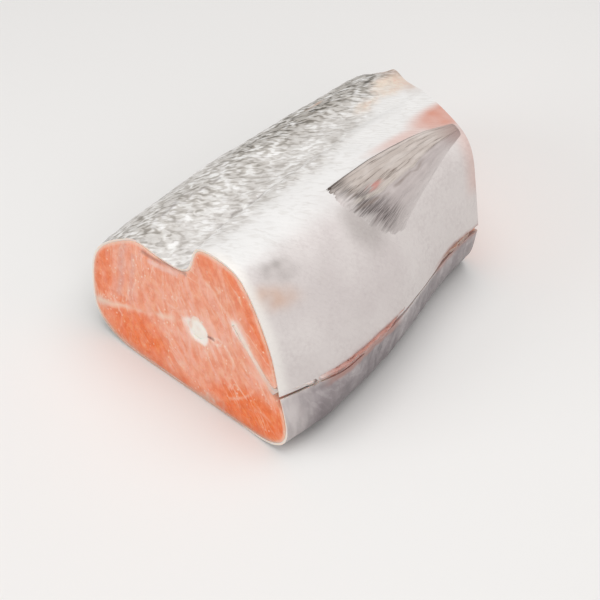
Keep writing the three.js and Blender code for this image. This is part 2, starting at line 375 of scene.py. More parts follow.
def sheet_from_rows(name, rows):
    """A grid whose points lie in rows. Its UV map is unrolled: metres round the body and along it."""
    columns = len(rows[0])
    bpy.ops.mesh.primitive_grid_add(x_subdivisions=columns - 1, y_subdivisions=len(rows) - 1, size=1)
    sheet = bpy.context.object
    sheet.name = name
    round_body = []
    for line in rows:
        reach = [0.0]
        for a, b in zip(line, line[1:]):
            reach.append(reach[-1] + (b - a).length)
        round_body.append([r - reach[CREST] for r in reach])
    for v in sheet.data.vertices:
        row, column = divmod(v.index, columns)
        v.co = rows[row][column]
    unrolled = sheet.data.uv_layers[0]
    unrolled.name = "unrolled"
    for loop in sheet.data.loops:
        row, column = divmod(loop.vertex_index, columns)
        unrolled.data[loop.index].uv = (round_body[row][column], rows[row][column].y)
    return sheet


skin = sheet_from_rows("salmon_skin", skin_rows)
only(skin)
bpy.ops.object.mode_set(mode="EDIT")
bpy.ops.mesh.select_all(action="SELECT")
bpy.ops.mesh.normals_make_consistent(inside=False)
bpy.ops.mesh.select_mode(type="EDGE")
bpy.ops.mesh.select_all(action="DESELECT")
mesh = bmesh.from_edit_mesh(skin.data)
columns = len(skin_rows[0])
for edge in mesh.edges:
    edge.select = edge.verts[0].index % columns == edge.verts[1].index % columns
bmesh.update_edit_mesh(skin.data)
bpy.ops.mesh.subdivide(number_cuts=1)
bpy.ops.object.mode_set(mode="OBJECT")
apply(skin, "SUBSURF", levels=2, render_levels=2, boundary_smooth="PRESERVE_CORNERS")
lowest = min(v.co.z for v in skin.data.vertices)
print(f"sheet: {len(skin.data.polygons)} faces, its lowest point at {lowest * 1000:.2f} mm")

# %% [markdown]
# ## Where each look of the skin lies
#
# A salmon is dark along its back, silver below that, and white on the belly. On this chunk a line
# just below the ridge's crest parts the scaly silver band from the smooth white side. The masks are
# soft functions of the place on the fish, so that they can be moved by changing one number.

# %% Skin: the two cuts and the zones of the back
SILVER_LIMIT = [  # places along the fish, and how far across the band reaches there
    (0, -13.0), (40, -13.5), (59, -16), (79, -19), (101, -22), (126, -28), (153, -36), (190, -50),
]
HEAD_CUT = 172.6
HEAD_CUT_SLANT = -0.43
TAIL_CUT_LEAN = math.tan(math.radians(8))


def from_tail_cut(p):
    """Millimetres along the fish from the tail-side cut, which leans."""
    return p.y - p.z * TAIL_CUT_LEAN


def from_head_cut(p):
    """Millimetres along the fish from the head-side cut, which slants."""
    return HEAD_CUT + HEAD_CUT_SLANT * p.x - p.y


def silver_band(p):
    """The scaly band: up to its limit on top, and down to the underside at the back."""
    edge = follow(SILVER_LIMIT, p.y) + 4 * wobble(p, 9) + 2 * wobble(p, 3)
    under = smooth(p.z, 4, 12) if p.x > -62 else 1.0
    return smooth(p.x, edge + 6, edge - 7) * under


def olive_back(p):
    """The dark back: strongest along the far edge, toward the head and close to the tail-side cut."""
    far_edge = smooth(p.x + 4 * wobble(p, 13), mix(-56, -46, smooth(p.y, 145, 168)), -66)
    toward_head = mix(0.1, 1.0, smooth(p.y + 8 * wobble(p, 15, 4.0), 68, 108))
    along = max(toward_head, 0.35 * smooth(p.y, 34, 14))
    # A painted sheen of reflected light lightens the back's very rim.
    painted_sheen = mix(1.0, 0.5, smooth(p.x, -76, -81) * smooth(p.z, 50, 56))
    return far_edge * along * painted_sheen


def grey_back(p):
    """The greyer half of the silver band, away from the ridge."""
    # A painted sheen of reflected light lightens the grey at the back's rim.
    painted_sheen = mix(1.0, 0.2, smooth(p.x, -72, -79) * smooth(p.y, 115, 80) * smooth(p.z, 46, 54))
    return smooth(p.x + 4 * wobble(p, 14), mix(-38, -41, smooth(p.y, 20, 60)), -57) * painted_sheen


def dark_spine(p):
    """The darkest strip, along the middle of the back, which is turned down and away."""
    far = smooth(p.x + 3 * wobble(p, 12), -72, -80)
    return far * smooth(p.z + 4 * wobble(p, 20), 54, 44) * smooth(p.z, 4, 16)


print("zones of the back: silver_band, olive_back, grey_back, dark_spine")

# %% Skin: zones of the flank
CREASE = [(-31.6, 40), (-33.0, 51), (-31.0, 58), (-31.4, 66), (-33.2, 75)]
DASHES = [(-60, 30), (-61.4, 43), (-58.7, 54), (-58, 66)]


def near_line(x, y, points, width):
    """1 on a line through points, and 0 from a width away."""
    nearest = width
    for (ax, ay), (bx, by) in zip(points, points[1:]):
        length = (bx - ax) ** 2 + (by - ay) ** 2
        share = min(1.0, max(0.0, ((x - ax) * (bx - ax) + (y - ay) * (by - ay)) / length))
        nearest = min(nearest, math.hypot(x - mix(ax, bx, share), y - mix(ay, by, share)))
    return smooth(nearest, width, 0)


def shaded_flank(p):
    """The side under the ridge, greyer than the crest: partly painted shade, partly its own grey."""
    return smooth(p.z, 80.3, 75.5) * smooth(p.x, mix(0, -8, smooth(p.y, 40, 70)), 11)


def flushed(p):
    """Orange flesh that shows through thin skin before the fin's root, and along its leading edge."""
    corner = patch(p.x, p.y, (-5, 173), (13.5, 29), -8, 0.4)
    along_fin = 0.45 * patch(p.x, p.y, (-6.5, 142), (6.5, 34), -5)
    rim = 0.3 * smooth(from_head_cut(p), 11, 1) * smooth(p.x, -4, 14) * smooth(p.z, 44, 56)
    return max(corner * (0.85 + 0.3 * wobble(p, 7)), along_fin, rim) * smooth(p.z, 44, 56)


def stained(p):
    """Tan smudges: one beside the tail-side cut, some where the head was cut off."""
    beside_cut = 0.6 * patch(p.x, p.y, (23.5, 19), (6.5, 19), -22) * (0.8 + 0.6 * wobble(p, 6, 2.0))
    edge_spot = 0.6 * patch(p.x, p.y, (-72, 149), (3, 10), 0) * (0.8 + 0.7 * wobble(p, 4))
    rim = 0.6 * smooth(from_head_cut(p), 12, 2) * smooth(p.x, -25, -45) * smooth(p.z, 40, 52)
    return max(0.0, min(1.0, max(beside_cut, edge_spot, rim * (0.8 + 0.6 * wobble(p, 6)))))


def nape(p):
    """The creamy bump behind the head, where the scales have rubbed off."""
    bump = patch(p.x + 3 * wobble(p, 8), p.y, (-49, 182), (12, 17), 20, 0.4)
    below = 0.6 * patch(p.x + 3 * wobble(p, 6), p.y, (-45, 160), (6, 16), 10, 0.2)
    return min(1.0, max(bump, below) * (0.85 + 0.5 * wobble(p, 4)))


def smudged(p):
    """Grey pigment smudges on the flank, dark dashes on the band, painted shade along the crease."""
    beside_stain = 0.6 * patch(p.x, p.y, (17, 29), (7, 14), -20) * (0.8 + 0.8 * wobble(p, 5))
    round_tips = 0.45 * patch(p.x, p.y, (21, 81), (15, 15), 20, 0.3)
    # The dark line along the crease is painted shade in its fold
    crease = 0.7 * near_line(p.x + wobble(p, 6), p.y, CREASE, 1.9)
    dashes = 0.7 * near_line(p.x + wobble(p, 4), p.y, DASHES, 1.8)
    broken = smooth(wobble(p, 5, 3.0), -0.35, 0.0)
    return max(beside_stain, round_tips, max(crease, dashes) * broken)


print("zones of the flank: shaded_flank, flushed, stained, nape, smudged")

# %% Skin: zones round the slit
# Places along the fish, and the height of the slit there.
SLIT_HEIGHT = [(0, 29.6), (45, 32.2), (80, 32.2), (165, 31.0)]


def lower_flap(p):
    """The flap under the slit: lilac-grey, with painted shade where it turns from the light."""
    return smooth(p.z, 33, 27) * smooth(p.x, 12, 26) * mix(0.25, 1.0, smooth(p.y + 3 * wobble(p, 7), 6, 22))


def shaded_low_edge(p):
    """The belly's underside: dull pigment, with painted shade where it meets what it lies on."""
    return smooth(p.z + 4 * wobble(p, 8), 28, 4) * smooth(p.x, 8, 22) * smooth(p.y, 4, 24)


def pleated(p):
    """Where the lower flap is bent and its skin stands in short pleats."""
    along = mix(0.35, 1.0, smooth(p.y, 38, 60) * smooth(p.y, 130, 95))
    return smooth(p.z, 33, 28) * smooth(p.x, 10, 22) * along


def blushed(p):
    """Blood that has stained the lips of the slit, pink toward the tail and brown toward the head."""
    from_slit = abs(p.z - follow(SLIT_HEIGHT, p.y) + 0.8) + 0.8 * wobble(p, 4)
    near_tail = smooth(p.y, 22, 34) * smooth(p.y, 84, 72)
    near_head = 0.7 * smooth(p.y, 112, 128)
    return smooth(from_slit, 4.8, 2.2) * smooth(p.x, 12, 26) * max(near_tail, near_head)


def clotted(p):
    """A bead and a clot of dark blood on the slit, toward the tail."""
    bead = patch(p.y, p.z, (20.5, 31.2), (1.5, 1.4))
    clot = 0.8 * patch(p.y, p.z, (34.5, 31.8), (4.5, 1.8)) * (0.8 + 0.6 * wobble(p, 2))
    return max(bead, clot) * smooth(p.x, 12, 26)


def on_lips(p):
    """The skin's edge along the slit, away from both cuts, greyed there as painted shade."""
    return smooth(min(from_tail_cut(p), from_head_cut(p)), 1.5, 3) * mix(0.3, 1.0, smooth(p.y, 20, 34))


def pale_rim(p):
    """The last millimetres of the flank before the tail-side cut, where the skin is thick and white."""
    return smooth(from_tail_cut(p), 6, 0.5) * smooth(p.x, -14, 0) * smooth(p.z, 26, 34)


print("zones round the slit: lower_flap, shaded_low_edge, pleated, blushed, clotted, on_lips, pale_rim")

# %% [markdown]
# ## Skin: relief
#
# Raw fish skin is never smooth. It has wide soft dents over the muscle, it crinkles where scales sit,
# and it puckers into short pleats where the lower flap is bent. The relief fades out at the cuts, so
# that the sheet still meets the flesh there. Solidify then gives it its thickness, inward, and puts
# the cut rim in a material slot of its own.

# %% Skin: relief and thickness
def skin_relief(vertex):
    """Dents 34, 13 and 5 mm wide, crinkles of 7 and 3 mm on the scales, a crease and 4 mm pleats."""
    p = on_fish(vertex.co)
    free = smooth(min(from_tail_cut(p), from_head_cut(p)), 0.5, 7) * smooth(p.z, 2, 9)
    dents = 0.6 * wobble(p, 34, 3.1) + 0.3 * wobble(p, 13, 7.7) + 0.1 * wobble(p, 5, 2.2)
    scaly = silver_band(p)
    crinkle = 0.5 * (0.5 - abs(wobble(p, 7, 1.9))) + 0.3 * wobble(p, 3.2, 5.3)
    crease = -0.7 * near_line(p.x + 1.5 * wobble(p, 6), p.y, CREASE, 2.6)
    pleats = 0.6 * wobble(Vector((p.x * 0.25, p.y, p.z * 0.25)), 4.0, 9.4) * pleated(p)
    return free * (dents * (1 - 0.5 * scaly) + crinkle * scaly + crease + pleats)


press(skin, skin_relief)
for number in range(2):
    skin.data.materials.append(None)
apply(skin, "SOLIDIFY", thickness=SKIN_THICKNESS / 1000, offset=-1, material_offset_rim=1)
paint(
    skin, silver=silver_band, grey=grey_back, olive=olive_back, spine=dark_spine, flank=shaded_flank,
    flush=flushed, stain=stained, nape=nape, smudge=smudged, flap=lower_flap, low=shaded_low_edge,
    pleats=pleated, blush=blushed, clot=clotted, lips=on_lips, pale=pale_rim,
    lines=lambda p: smooth(p.y, 95, 150) * smooth(p.x, -52, -40) * smooth(p.x, 12, 0),
    # under: the cut rim beneath the belly, darkened there with painted shade
    under=lambda p: smooth(p.z, 12, 4) * smooth(p.x, 34, 14),
)
print(f"skin: {len(skin.data.vertices)} points, {len(skin.data.attributes)} attributes")

# %% [markdown]
# ## Skin: finish
#
# Wet salmon skin is mother-of-pearl over pigment. Each scale is a thin plate a few millimetres wide,
# tilted a little its own way, so some flash white and some stay grey. A flat noise on the unrolled
# sheet, stretched along the slanting scale rows, gives the soft white and dark flecks, and a Voronoi
# pattern of nearly the same size gives each plate its own tilt. The white flecks and the plates that
# flash are partly painted highlights in the colour. A noise on the object's own metres has swells
# about 1000 / Scale millimetres wide, here 10 mm blotches, 2 mm specks and 33 mm clouds.

# %% Skin: patterns
FLECK_LONG = 0.0038
FLECK_SHORT = 0.0018
SCALE_SLANT = math.radians(-37)

wet_skin, tree, shader = new_material("wet_salmon_skin")
unrolled = add(tree, "UVMap", uv_map="unrolled")
here = add(tree, "TexCoord").outputs["Object"]
slanted = {"Vector": unrolled, "Rotation": (0, 0, SCALE_SLANT), "Scale": (FLECK_LONG, FLECK_SHORT, 1)}
scale_rows = add(tree, "Mapping", slanted, vector_type="TEXTURE")
flecks = add(tree, "TexNoise", {"Vector": scale_rows, "Scale": 0.78, "Detail": 1.0, "Distortion": 0.5})
each_plate = {"Vector": scale_rows, "Scale": 0.9, "Randomness": 0.9}
plates = add(tree, "TexVoronoi", each_plate, voronoi_dimensions="2D")
own = add(tree, "SeparateColor", {0: plates.outputs["Color"]})
blotches = add(tree, "TexNoise", {"Vector": here, "Scale": 95.0, "Detail": 3.0})
fine = add(tree, "TexNoise", {"Vector": here, "Scale": 520.0, "Detail": 2.0})
broad = add(tree, "TexNoise", {"Vector": here, "Scale": 30.0, "Detail": 2.0})
across_flap = add(tree, "Mapping", {"Vector": here, "Scale": (60, 250, 60)})
folds = add(tree, "TexNoise", {"Vector": across_flap, "Scale": 1.0, "Detail": 2.0})

white_flecks_and_glints = add(tree, "ValToRGB", {0: flecks}, stops=[(0.5, 0.0), (0.62, 1.0)])
dark_flecks = add(tree, "ValToRGB", {0: flecks}, stops=[(0.36, 1.0), (0.49, 0.0)])
painted_glints = add(tree, "ValToRGB", {0: own.outputs[0]}, stops=[(0.5, 0.0), (0.8, 1.0)])
from_centre = plates.outputs["Distance"]
inside_plate = add(tree, "MapRange", {"Value": from_centre, "From Min": 0.55, "From Max": 0.2})
patchy = add(tree, "ValToRGB", {0: blotches}, stops=[(0.38, 0.2), (0.58, 1.0)])
mottle = add(tree, "ValToRGB", {0: blotches}, stops=[(0.38, 1.0), (0.62, 0.2)])
cloud = add(tree, "ValToRGB", {0: broad}, stops=[(0.4, 0.0), (0.65, 1.0)])
specks = add(tree, "ValToRGB", {0: fine}, stops=[(0.4, 0.0), (0.65, 1.0)])
dark_folds = add(tree, "ValToRGB", {0: folds}, stops=[(0.45, 0.0), (0.64, 1.0)])
print("skin patterns:", len(tree.nodes), "nodes")

# %% Skin: fine rows of scales toward the head
across_rows = add(tree, "SeparateXYZ", {0: scale_rows}).outputs[1]
across_rows = add(tree, "Math", {0: blotches, 1: 1.8, 2: across_rows}, operation="MULTIPLY_ADD")
turns = add(tree, "Math", {0: across_rows, 1: 2 * math.pi}, operation="MULTIPLY")
scale_lines = add(tree, "Math", {0: turns}, operation="SINE")
scale_lines = add(tree, "MapRange", {"Value": scale_lines, "From Min": 0.2, "From Max": 1.0})
print("skin rows: one every", FLECK_SHORT * 1000, "mm")

# %% Skin: colours
tone = coats(
    tree, "#eeecea",
    ("#dedad6", dark_flecks, mottle, 0.6),
    # flank: the side's grey, partly painted shade where it turns from the light above
    ("#dcd4d1", "flank"),
    ("#cdc3c1", "flank", cloud, 0.6),
    ("#cbc1bf", "flank", specks, mottle, 0.5),
    ("#e1ddd9", "silver"),
    ("#cfcac4", "silver", "grey"),
    ("#938a7d", "silver", "olive"),
    ("#bdb7b1", "silver", mottle, 0.4),
    ("#bbb5ae", "silver", cloud, 0.35),
    ("#a8a19a", "silver", dark_flecks, mottle, 0.7),
    ("#857e74", "silver", "grey", dark_flecks, mottle, 0.7),
    ("#4f4a40", "silver", "olive", dark_flecks, 0.9),
    # White flecks and flashing plates: partly painted highlights, the glints of the scales
    ("#fbfaf8", "silver", white_flecks_and_glints, patchy, 0.75),
    ("#f8f6f6", "silver", painted_glints, inside_plate, patchy, 0.6),
    ("#56554b", "spine", 0.9),
    ("#7d7b70", "spine", white_flecks_and_glints, patchy, 0.5),
    ("#d3cfca", "lines", scale_lines, patchy, 0.6),
    ("#8b827d", "smudge"),
    ("#d58f79", "flush"),
    ("#d2ab93", "stain"),
    ("#ecdcca", "nape", 0.9),
    ("#dfb3a2", "nape", mottle, specks, 0.6),
    # flap: lilac-grey, partly painted shade
    ("#aaa0a2", "flap", 0.9),
    ("#75696d", "flap", mottle, 0.55),
    ("#ddd4d4", "flap", white_flecks_and_glints, patchy, 0.25),
    # low: painted shade on the belly's underside, over its dull pigment
    ("#615659", "low", 0.95),
    ("#675c60", "pleats", dark_folds, 0.7),
    ("#a97c72", "blush", 0.9),
    ("#6b3a35", "clot", 0.85),
    ("#f4efe9", "pale", 0.8),
)
feed(tree, shader, {"Base Color": tone})
print("skin colours:", len(tree.nodes), "nodes")

# %% Skin: tilt of the scales and gloss
within = add(tree, "VectorMath", {0: scale_rows, 1: plates.outputs["Position"]}, operation="SUBTRACT")
within = add(tree, "SeparateXYZ", {0: within})
lean = add(tree, "Math", {0: own.outputs[1], 1: 0.5}, operation="SUBTRACT")
lean = add(tree, "Math", {0: lean, 1: within.outputs[0]}, operation="MULTIPLY")
slope = add(tree, "Math", {0: within.outputs[1], 1: 0.8}, operation="MULTIPLY")
tilt = add(tree, "Math", {0: lean, 1: 1.4, 2: slope}, operation="MULTIPLY_ADD")
silver = add(tree, "Attribute", attribute_name="silver").outputs["Fac"]
depth = add(tree, "MapRange", {"Value": silver, "To Min": 0.2, "To Max": 1.0})
tilt = add(tree, "Math", {0: tilt, 1: depth}, operation="MULTIPLY")
bump = add(tree, "Bump", {"Strength": 0.8, "Distance": 0.0003, "Height": tilt})
bump = add(tree, "Bump", {"Strength": 0.4, "Distance": 0.0004, "Height": flecks, "Normal": bump})
bump = add(tree, "Bump", {"Strength": 0.3, "Distance": 0.0003, "Height": fine, "Normal": bump})
wet = add(tree, "Math", {0: silver, 1: white_flecks_and_glints}, operation="MULTIPLY")
gloss = add(tree, "MapRange", {"Value": wet, "To Min": 0.42, "To Max": 0.26})
feed(tree, shader, {"Normal": bump, "Roughness": gloss, "IOR": 1.45})
feed(tree, shader, {"Coat Weight": 0.25, "Coat Roughness": 0.18})
print("skin: IOR 1.45, roughness 0.26 to 0.42 under a thin wet coat")

# %% Skin: the cut rim
# Skin sliced with a knife is fat and tough fibre, so its edge is creamy, moist and a little
# see-through, and blood has stained it along the slit. Painted shade darkens it beneath the belly
# and greys it along the lips.
cut_skin, tree, shader = new_material("cut_edge_of_skin")
here = add(tree, "TexCoord").outputs["Object"]
fatty = add(tree, "TexNoise", {"Vector": here, "Scale": 260.0, "Detail": 2.0})
tone = coats(
    tree, "#f1e8df",
    ("#dfc0af", fatty, 0.5),
    # under: painted shade on the rim beneath the belly
    ("#c98e74", "under", 0.75),
    # lips: the rim along the slit, greyed with painted shade
    ("#a89a98", "lips", 0.85),
    ("#a5746b", "blush", 0.8),
)
feed(tree, shader, {
    "Base Color": tone, "Roughness": 0.35, "Subsurface Weight": 0.3,
    "Subsurface Radius": (0.8, 0.4, 0.25), "Subsurface Scale": 0.002,
})
finish_piece(skin, "skin", "skin", wet_skin, cut_skin)

# %% [markdown]
# ## Flesh: the muscle between the cuts
#
# Salmon muscle is packed in leaves, with thin pale sheets of gristle between them. A cut across the
# fish shows the leaves as streaks that run down from the back, and the muscle swells a little out of
# its skin, because the skin holds it tight. The ends of the solid are flat and coarse. They are cut
# into small squares by planes, so that the swelling, the streaks and the masks have something to work
# on. The whole muscle also stands 0.3 mm into its neighbours, so that no gap shows between them.

# %% Flesh: tools for the cuts
NEAR_STEP = 0.0008
FAR_STEP = 0.0014
FLAT_ENOUGH = math.radians(8)  # faces that bend less than this become one before they are cut up
CUT_REACH = 1.6  # millimetres along the fish, from a cut's plane, within which its faces lie
FLESH_SWELL = 0.3  # millimetres that the muscle stands into its neighbours, so that no gap shows


def mark_ends(piece):
    """Marks the faces of both ends, -1 at the tail-side cut and 1 at the head-side cut."""
    marks = piece.data.attributes.new("end", "INT", "FACE")
    for face in piece.data.polygons:
        corners = [on_fish(piece.data.vertices[index].co) for index in face.vertices]
        if all(abs(from_tail_cut(p)) < CUT_REACH for p in corners):
            marks.data[face.index].value = -1
        elif all(abs(from_head_cut(p)) < CUT_REACH for p in corners):
            marks.data[face.index].value = 1


def end_faces(mesh, way):
    """The faces of one end, in edit mode."""
    marks = mesh.faces.layers.int["end"]
    return [face for face in mesh.faces if face[marks] == way]


def divide_end(piece, way, step):
    """Cuts one end of a piece into squares, with planes that are a step apart."""
    only(piece)
    bpy.ops.object.mode_set(mode="EDIT")
    bpy.ops.mesh.select_mode(type="FACE")
    bpy.ops.mesh.select_all(action="DESELECT")
    mesh = bmesh.from_edit_mesh(piece.data)
    for face in end_faces(mesh, way):
        face.select = True
    bmesh.update_edit_mesh(piece.data)
    bpy.ops.mesh.dissolve_limited(angle_limit=FLAT_ENOUGH)
    mesh = bmesh.from_edit_mesh(piece.data)
    for axis in (Vector((1, 0, 0)), Vector((0, 0, 1))):
        reach = [v.co.dot(axis) for face in end_faces(mesh, way) for v in face.verts]
        for number in range(1, int((max(reach) - min(reach)) / step) + 1):
            end = end_faces(mesh, way)
            touched = end + list({e for face in end for e in face.edges})
            touched += list({v for face in end for v in face.verts})
            place = axis * (min(reach) + number * step)
            bmesh.ops.bisect_plane(mesh, geom=touched, plane_co=place, plane_no=axis, dist=1e-7)
    bmesh.update_edit_mesh(piece.data)
    bpy.ops.mesh.select_all(action="DESELECT")
    bpy.ops.object.mode_set(mode="OBJECT")


def end_and_rim(piece, way):
    """The numbers of the vertices of one end, and of those that lie on its rim."""
    marks = piece.data.attributes["end"].data
    end, rest = set(), set()
    for face in piece.data.polygons:
        (end if marks[face.index].value == way else rest).update(face.vertices)
    return end, end & rest


def swollen(piece, by):
    """Moves the whole surface of a piece outward, to close the gap to its neighbours."""
    only(piece)
    bpy.ops.object.mode_set(mode="EDIT")
    bpy.ops.mesh.select_all(action="SELECT")
    bpy.ops.transform.shrink_fatten(value=by)
    bpy.ops.mesh.select_all(action="DESELECT")
    bpy.ops.object.mode_set(mode="OBJECT")


print("tools: mark_ends, divide_end, end_and_rim, swollen")

# %% Flesh: fine squares on both cuts
flesh = merged_copy("flesh", "salmon_muscle")
mark_ends(flesh)
swollen(flesh, FLESH_SWELL / 1000)
divide_end(flesh, -1, NEAR_STEP)
divide_end(flesh, 1, FAR_STEP)
print("flesh:", len(flesh.data.polygons), "faces after the cuts")

# %% Flesh: relief of the cuts
LINING_FOLD = [(12.0, 53.4), (23.6, 43.4), (35.8, 32.6), (42.0, 29.6)]
SEPTUM = [(-84.6, 14.6), (-72, 18.7), (-57.5, 23.7), (-43.4, 29.3), (-26.5, 35.4), (-16.5, 37.6)]


def grain_across(p):
    """Millimetres across the streaks. They are upright in the back and lean toward the belly."""
    return p.x + mix(0.05, 0.75, smooth(p.x, -72, -5)) * (p.z - 38)


def above_septum(p):
    """Millimetres above the pale sheet that parts the back's muscle, which runs to the backbone."""
    height = follow(SEPTUM, p.x) + 1.6 * wobble(p, 9, 1.0) + 0.6 * wobble(p, 3, 2.0)
    return (p.z - height) if p.x < SEPTUM[-1][0] else math.hypot(p.x - SEPTUM[-1][0], p.z - height)


def cut_relief(p, from_rim):
    """How far the muscle stands out of the cut, in millimetres."""
    swell = 0.85 * (1 - math.exp(-from_rim / 3.0)) - 0.15
    leaves = Vector((grain_across(p), p.z * 0.3, p.y * 0.1))
    streaks = 0.12 * wobble(leaves, 2.6) + 0.1 * wobble(leaves, 1.2, 4.0)
    lumps = 0.25 * wobble(p, 11, 2.0) + 0.16 * wobble(p, 4, 6.0) + 0.1 * wobble(p, 1.8, 3.0)
    groove = 0.2 * math.exp(-(above_septum(p) / 1.2) ** 2)
    return swell + (streaks + lumps) * smooth(from_rim, 0, 2) - groove


from_rim = {}
skin_points = [v.co for v in skin.data.vertices]
skin_surface = BVHTree.FromPolygons(skin_points, [face.vertices for face in skin.data.polygons])
for way in (-1, 1):
    for index in end_and_rim(flesh, way)[0]:
        v = flesh.data.vertices[index]
        from_rim[index] = max(0.0, skin_surface.find_nearest(v.co)[3] * 1000 - FLESH_SWELL)
        v.co.y += way * cut_relief(on_fish(v.co), from_rim[index]) / 1000
flesh.data.update()
print("flesh: relief on", len(from_rim), "points of the cuts")

# %% Flesh: zones of deep and pale muscle
# Masks that belong to the tail-side cut alone fade out by 60 mm along the fish.


def deep_orange(p):
    """Where the muscle is deep orange: low in the back, at the belly tip and under the flank."""
    low_back = patch(p.x, p.z, (-52, 14), (35, 19), 0, 0.2)
    back = 0.6 * patch(p.x, p.z, (-77, 34), (11, 26), 0, 0.3)
    belly = patch(p.x, p.z, (25, 11), (34, 16), 12, 0.45)
    crest = 0.35 * patch(p.x, p.z, (-8, 74), (12, 8), -30, 0.3)
    under_flank = 0.7 * near_line(p.x, p.z, [(5, 77), (17, 66), (26, 54), (33, 44)], 6)
    # foot: the deeper orange along the foot of the cut is painted shade
    foot = 0.5 * smooth(p.z, 12, 2)
    deepest = max(low_back, back, belly, crest, under_flank, foot)
    return min(1.0, deepest * (1 + 0.5 * wobble(p, 6, 8.0)))


def shaded(p):
    """The low rim and the rim round the back, which are darker."""
    return max(smooth(p.z, 9, 1), 0.6 * smooth(p.x, -78, -85)) * smooth(p.y, 60, 40)


def lilac_bands(p):
    """Two upright bands in the back where the muscle is pale and greyish pink."""
    wide = near_line(p.x + 1.5 * wobble(p, 8), p.z, [(-63.5, 30), (-63.5, 56)], 4)
    narrow = near_line(p.x + 1.5 * wobble(p, 8), p.z, [(-56, 28), (-56, 54)], 3)
    return max(wide, 0.8 * narrow) * smooth(p.y, 60, 30)


def hazy(p):
    """Paler muscle round the backbone and on both sides of the belly lining."""
    round_bone = patch(p.x, p.z, (-8, 38), (24, 16), 10, 0.3)
    near_lining = near_line(p.x, p.z, LINING_FOLD, 9) * smooth(p.z, 26, 34)
    return max(round_bone, near_lining) * (0.75 + 0.8 * wobble(p, 6, 5.0)) * smooth(p.y, 60, 30)


print("zones of the muscle: deep_orange, shaded, lilac_bands, hazy")

# %% Flesh: zones of white tissue and of blood
BRUISE = [(-50, 59.6), (-43.4, 59.2), (-38.3, 59.8), (-33.3, 60.8), (-26.7, 61.6), (-21, 62.4)]
UNDER_BRUISE = [(-45, 56.8), (-35, 57.9), (-26.5, 59.6)]
VESSEL = [(-5.8, 39.3), (-3.2, 38.2), (0.2, 38.4)]
LOOPS = [[(0.2, 38.4), (2.6, 40.3), (5.2, 39.8)], [(-0.5, 37.2), (2.4, 36.2), (4.8, 38.0)]]
SEAMS = [
    [(-31, 41), (-25, 40.8), (-19, 42.6)],
    [(-6, 65), (-1.5, 63.5), (2, 59.4), (5.5, 57)],
    [(7, 39), (9.7, 36.8), (12.5, 34.5), (14, 30)],
    [(12.9, 12.7), (16.8, 14.4), (22, 18.4), (27, 25)],
    [(34, 16.6), (38, 14.9), (42, 13.8)],
]


def pale_scrap(p):
    """Whitish see-through shreds at the lower edge, and a pale haze where the septum meets the skin."""
    shreds = patch(p.x, p.z, (1, 3.5), (13, 6), 12) * (0.55 + 0.9 * wobble(p, 3))
    haze = 0.5 * patch(p.x, p.z, (-77, 17), (9, 5), 15)
    return max(0.0, min(1.0, max(shreds, haze)))


def gristle(p):
    """White tissue round the backbone, along the belly lining and in small loops by the vessel."""
    ragged_x, ragged_z = p.x + 1.6 * wobble(p, 7, 3.0), p.z + 1.3 * wobble(p, 6)
    round_bone = patch(ragged_x, ragged_z, (-9.6, 37.4), (8.2, 7.2), -12, 0.7)
    beside_bone = 0.7 * patch(ragged_x, ragged_z, (-17, 38.6), (5.5, 3.6), 20, 0.3)
    near_lining = near_line(p.x, p.z, LINING_FOLD, mix(1.3, 4.0, smooth(p.z, 40, 53)))
    loops = 0.45 * max(near_line(p.x, p.z, line, 0.9) for line in LOOPS)
    return max(round_bone, beside_bone, 0.95 * near_lining, loops) * smooth(p.y, 60, 30)


def seams(p):
    """Thin pale arcs where single sheets of gristle meet the near cut."""
    x, z = p.x + 0.8 * wobble(p, 5, 2.0), p.z + 0.8 * wobble(p, 5, 6.0)
    return max(near_line(x, z, line, 1.1) for line in SEAMS) * smooth(p.y, 60, 30)


def vessel(p):
    """The cut vessel beside the backbone, at the near cut."""
    return near_line(p.x, p.z, VESSEL, 0.9) * smooth(p.y, 40, 20)


def bruised(p):
    """The brown line of a bruise, close under the skin of the back."""
    return near_line(p.x, p.z + 0.4 * wobble(p, 4), BRUISE, 1.5) * smooth(p.y, 60, 40)


def scarred(p):
    """The pale pink muscle below that bruise."""
    return near_line(p.x, p.z, UNDER_BRUISE, 2.2) * smooth(p.y, 60, 40)


def slit_walls(p):
    """The pale membrane on the muscle just inside the lips of the slit."""
    near_slit = smooth(abs(p.z - follow(SLIT_HEIGHT, p.y)), 5, 3) * smooth(p.x, 24, 32)
    return near_slit * smooth(from_tail_cut(p), -0.3, 0)


print("zones of tissue: pale_scrap, gristle, seams, vessel, bruised, scarred, slit_walls")

# %% Flesh: masks and the way of the grain
paint(
    flesh, orange=deep_orange, shade=shaded, lilac=lilac_bands, haze=hazy, scrap=pale_scrap,
    gristle=gristle, seams=seams, vessel=vessel, bruise=bruised, scar=scarred, walls=slit_walls,
    septum=above_septum,
)
depth_in_cut = flesh.data.attributes.new("from_rim", "FLOAT", "POINT")
depth_in_cut.data.foreach_set("value", [from_rim.get(v.index, 9.0) for v in flesh.data.vertices])
grain_map = flesh.data.uv_layers.new(name="grain")
for loop in flesh.data.loops:
    p = on_fish(flesh.data.vertices[loop.vertex_index].co)
    grain_map.data[loop.index].uv = (grain_across(p) / 1000, p.z / 1000)
print("flesh: masks", [a.name for a in flesh.data.attributes if a.data_type == "FLOAT"])

# %% [markdown]
# ## Flesh: finish
#
# Raw muscle is moist and lets light in, so its colour glows from under the surface and its gloss is
# soft. The streaks are noise that is stretched along the leaves, and the pale sheets between them are
# the level lines of a coarser stretched noise, which join and part as the real ones do. Across the
# leaves the bands are about 8 mm wide and the sheets 10 mm apart. Real fibres are far finer than the
# 1.4 mm of the threads here, which are drawn that coarse so that they show.

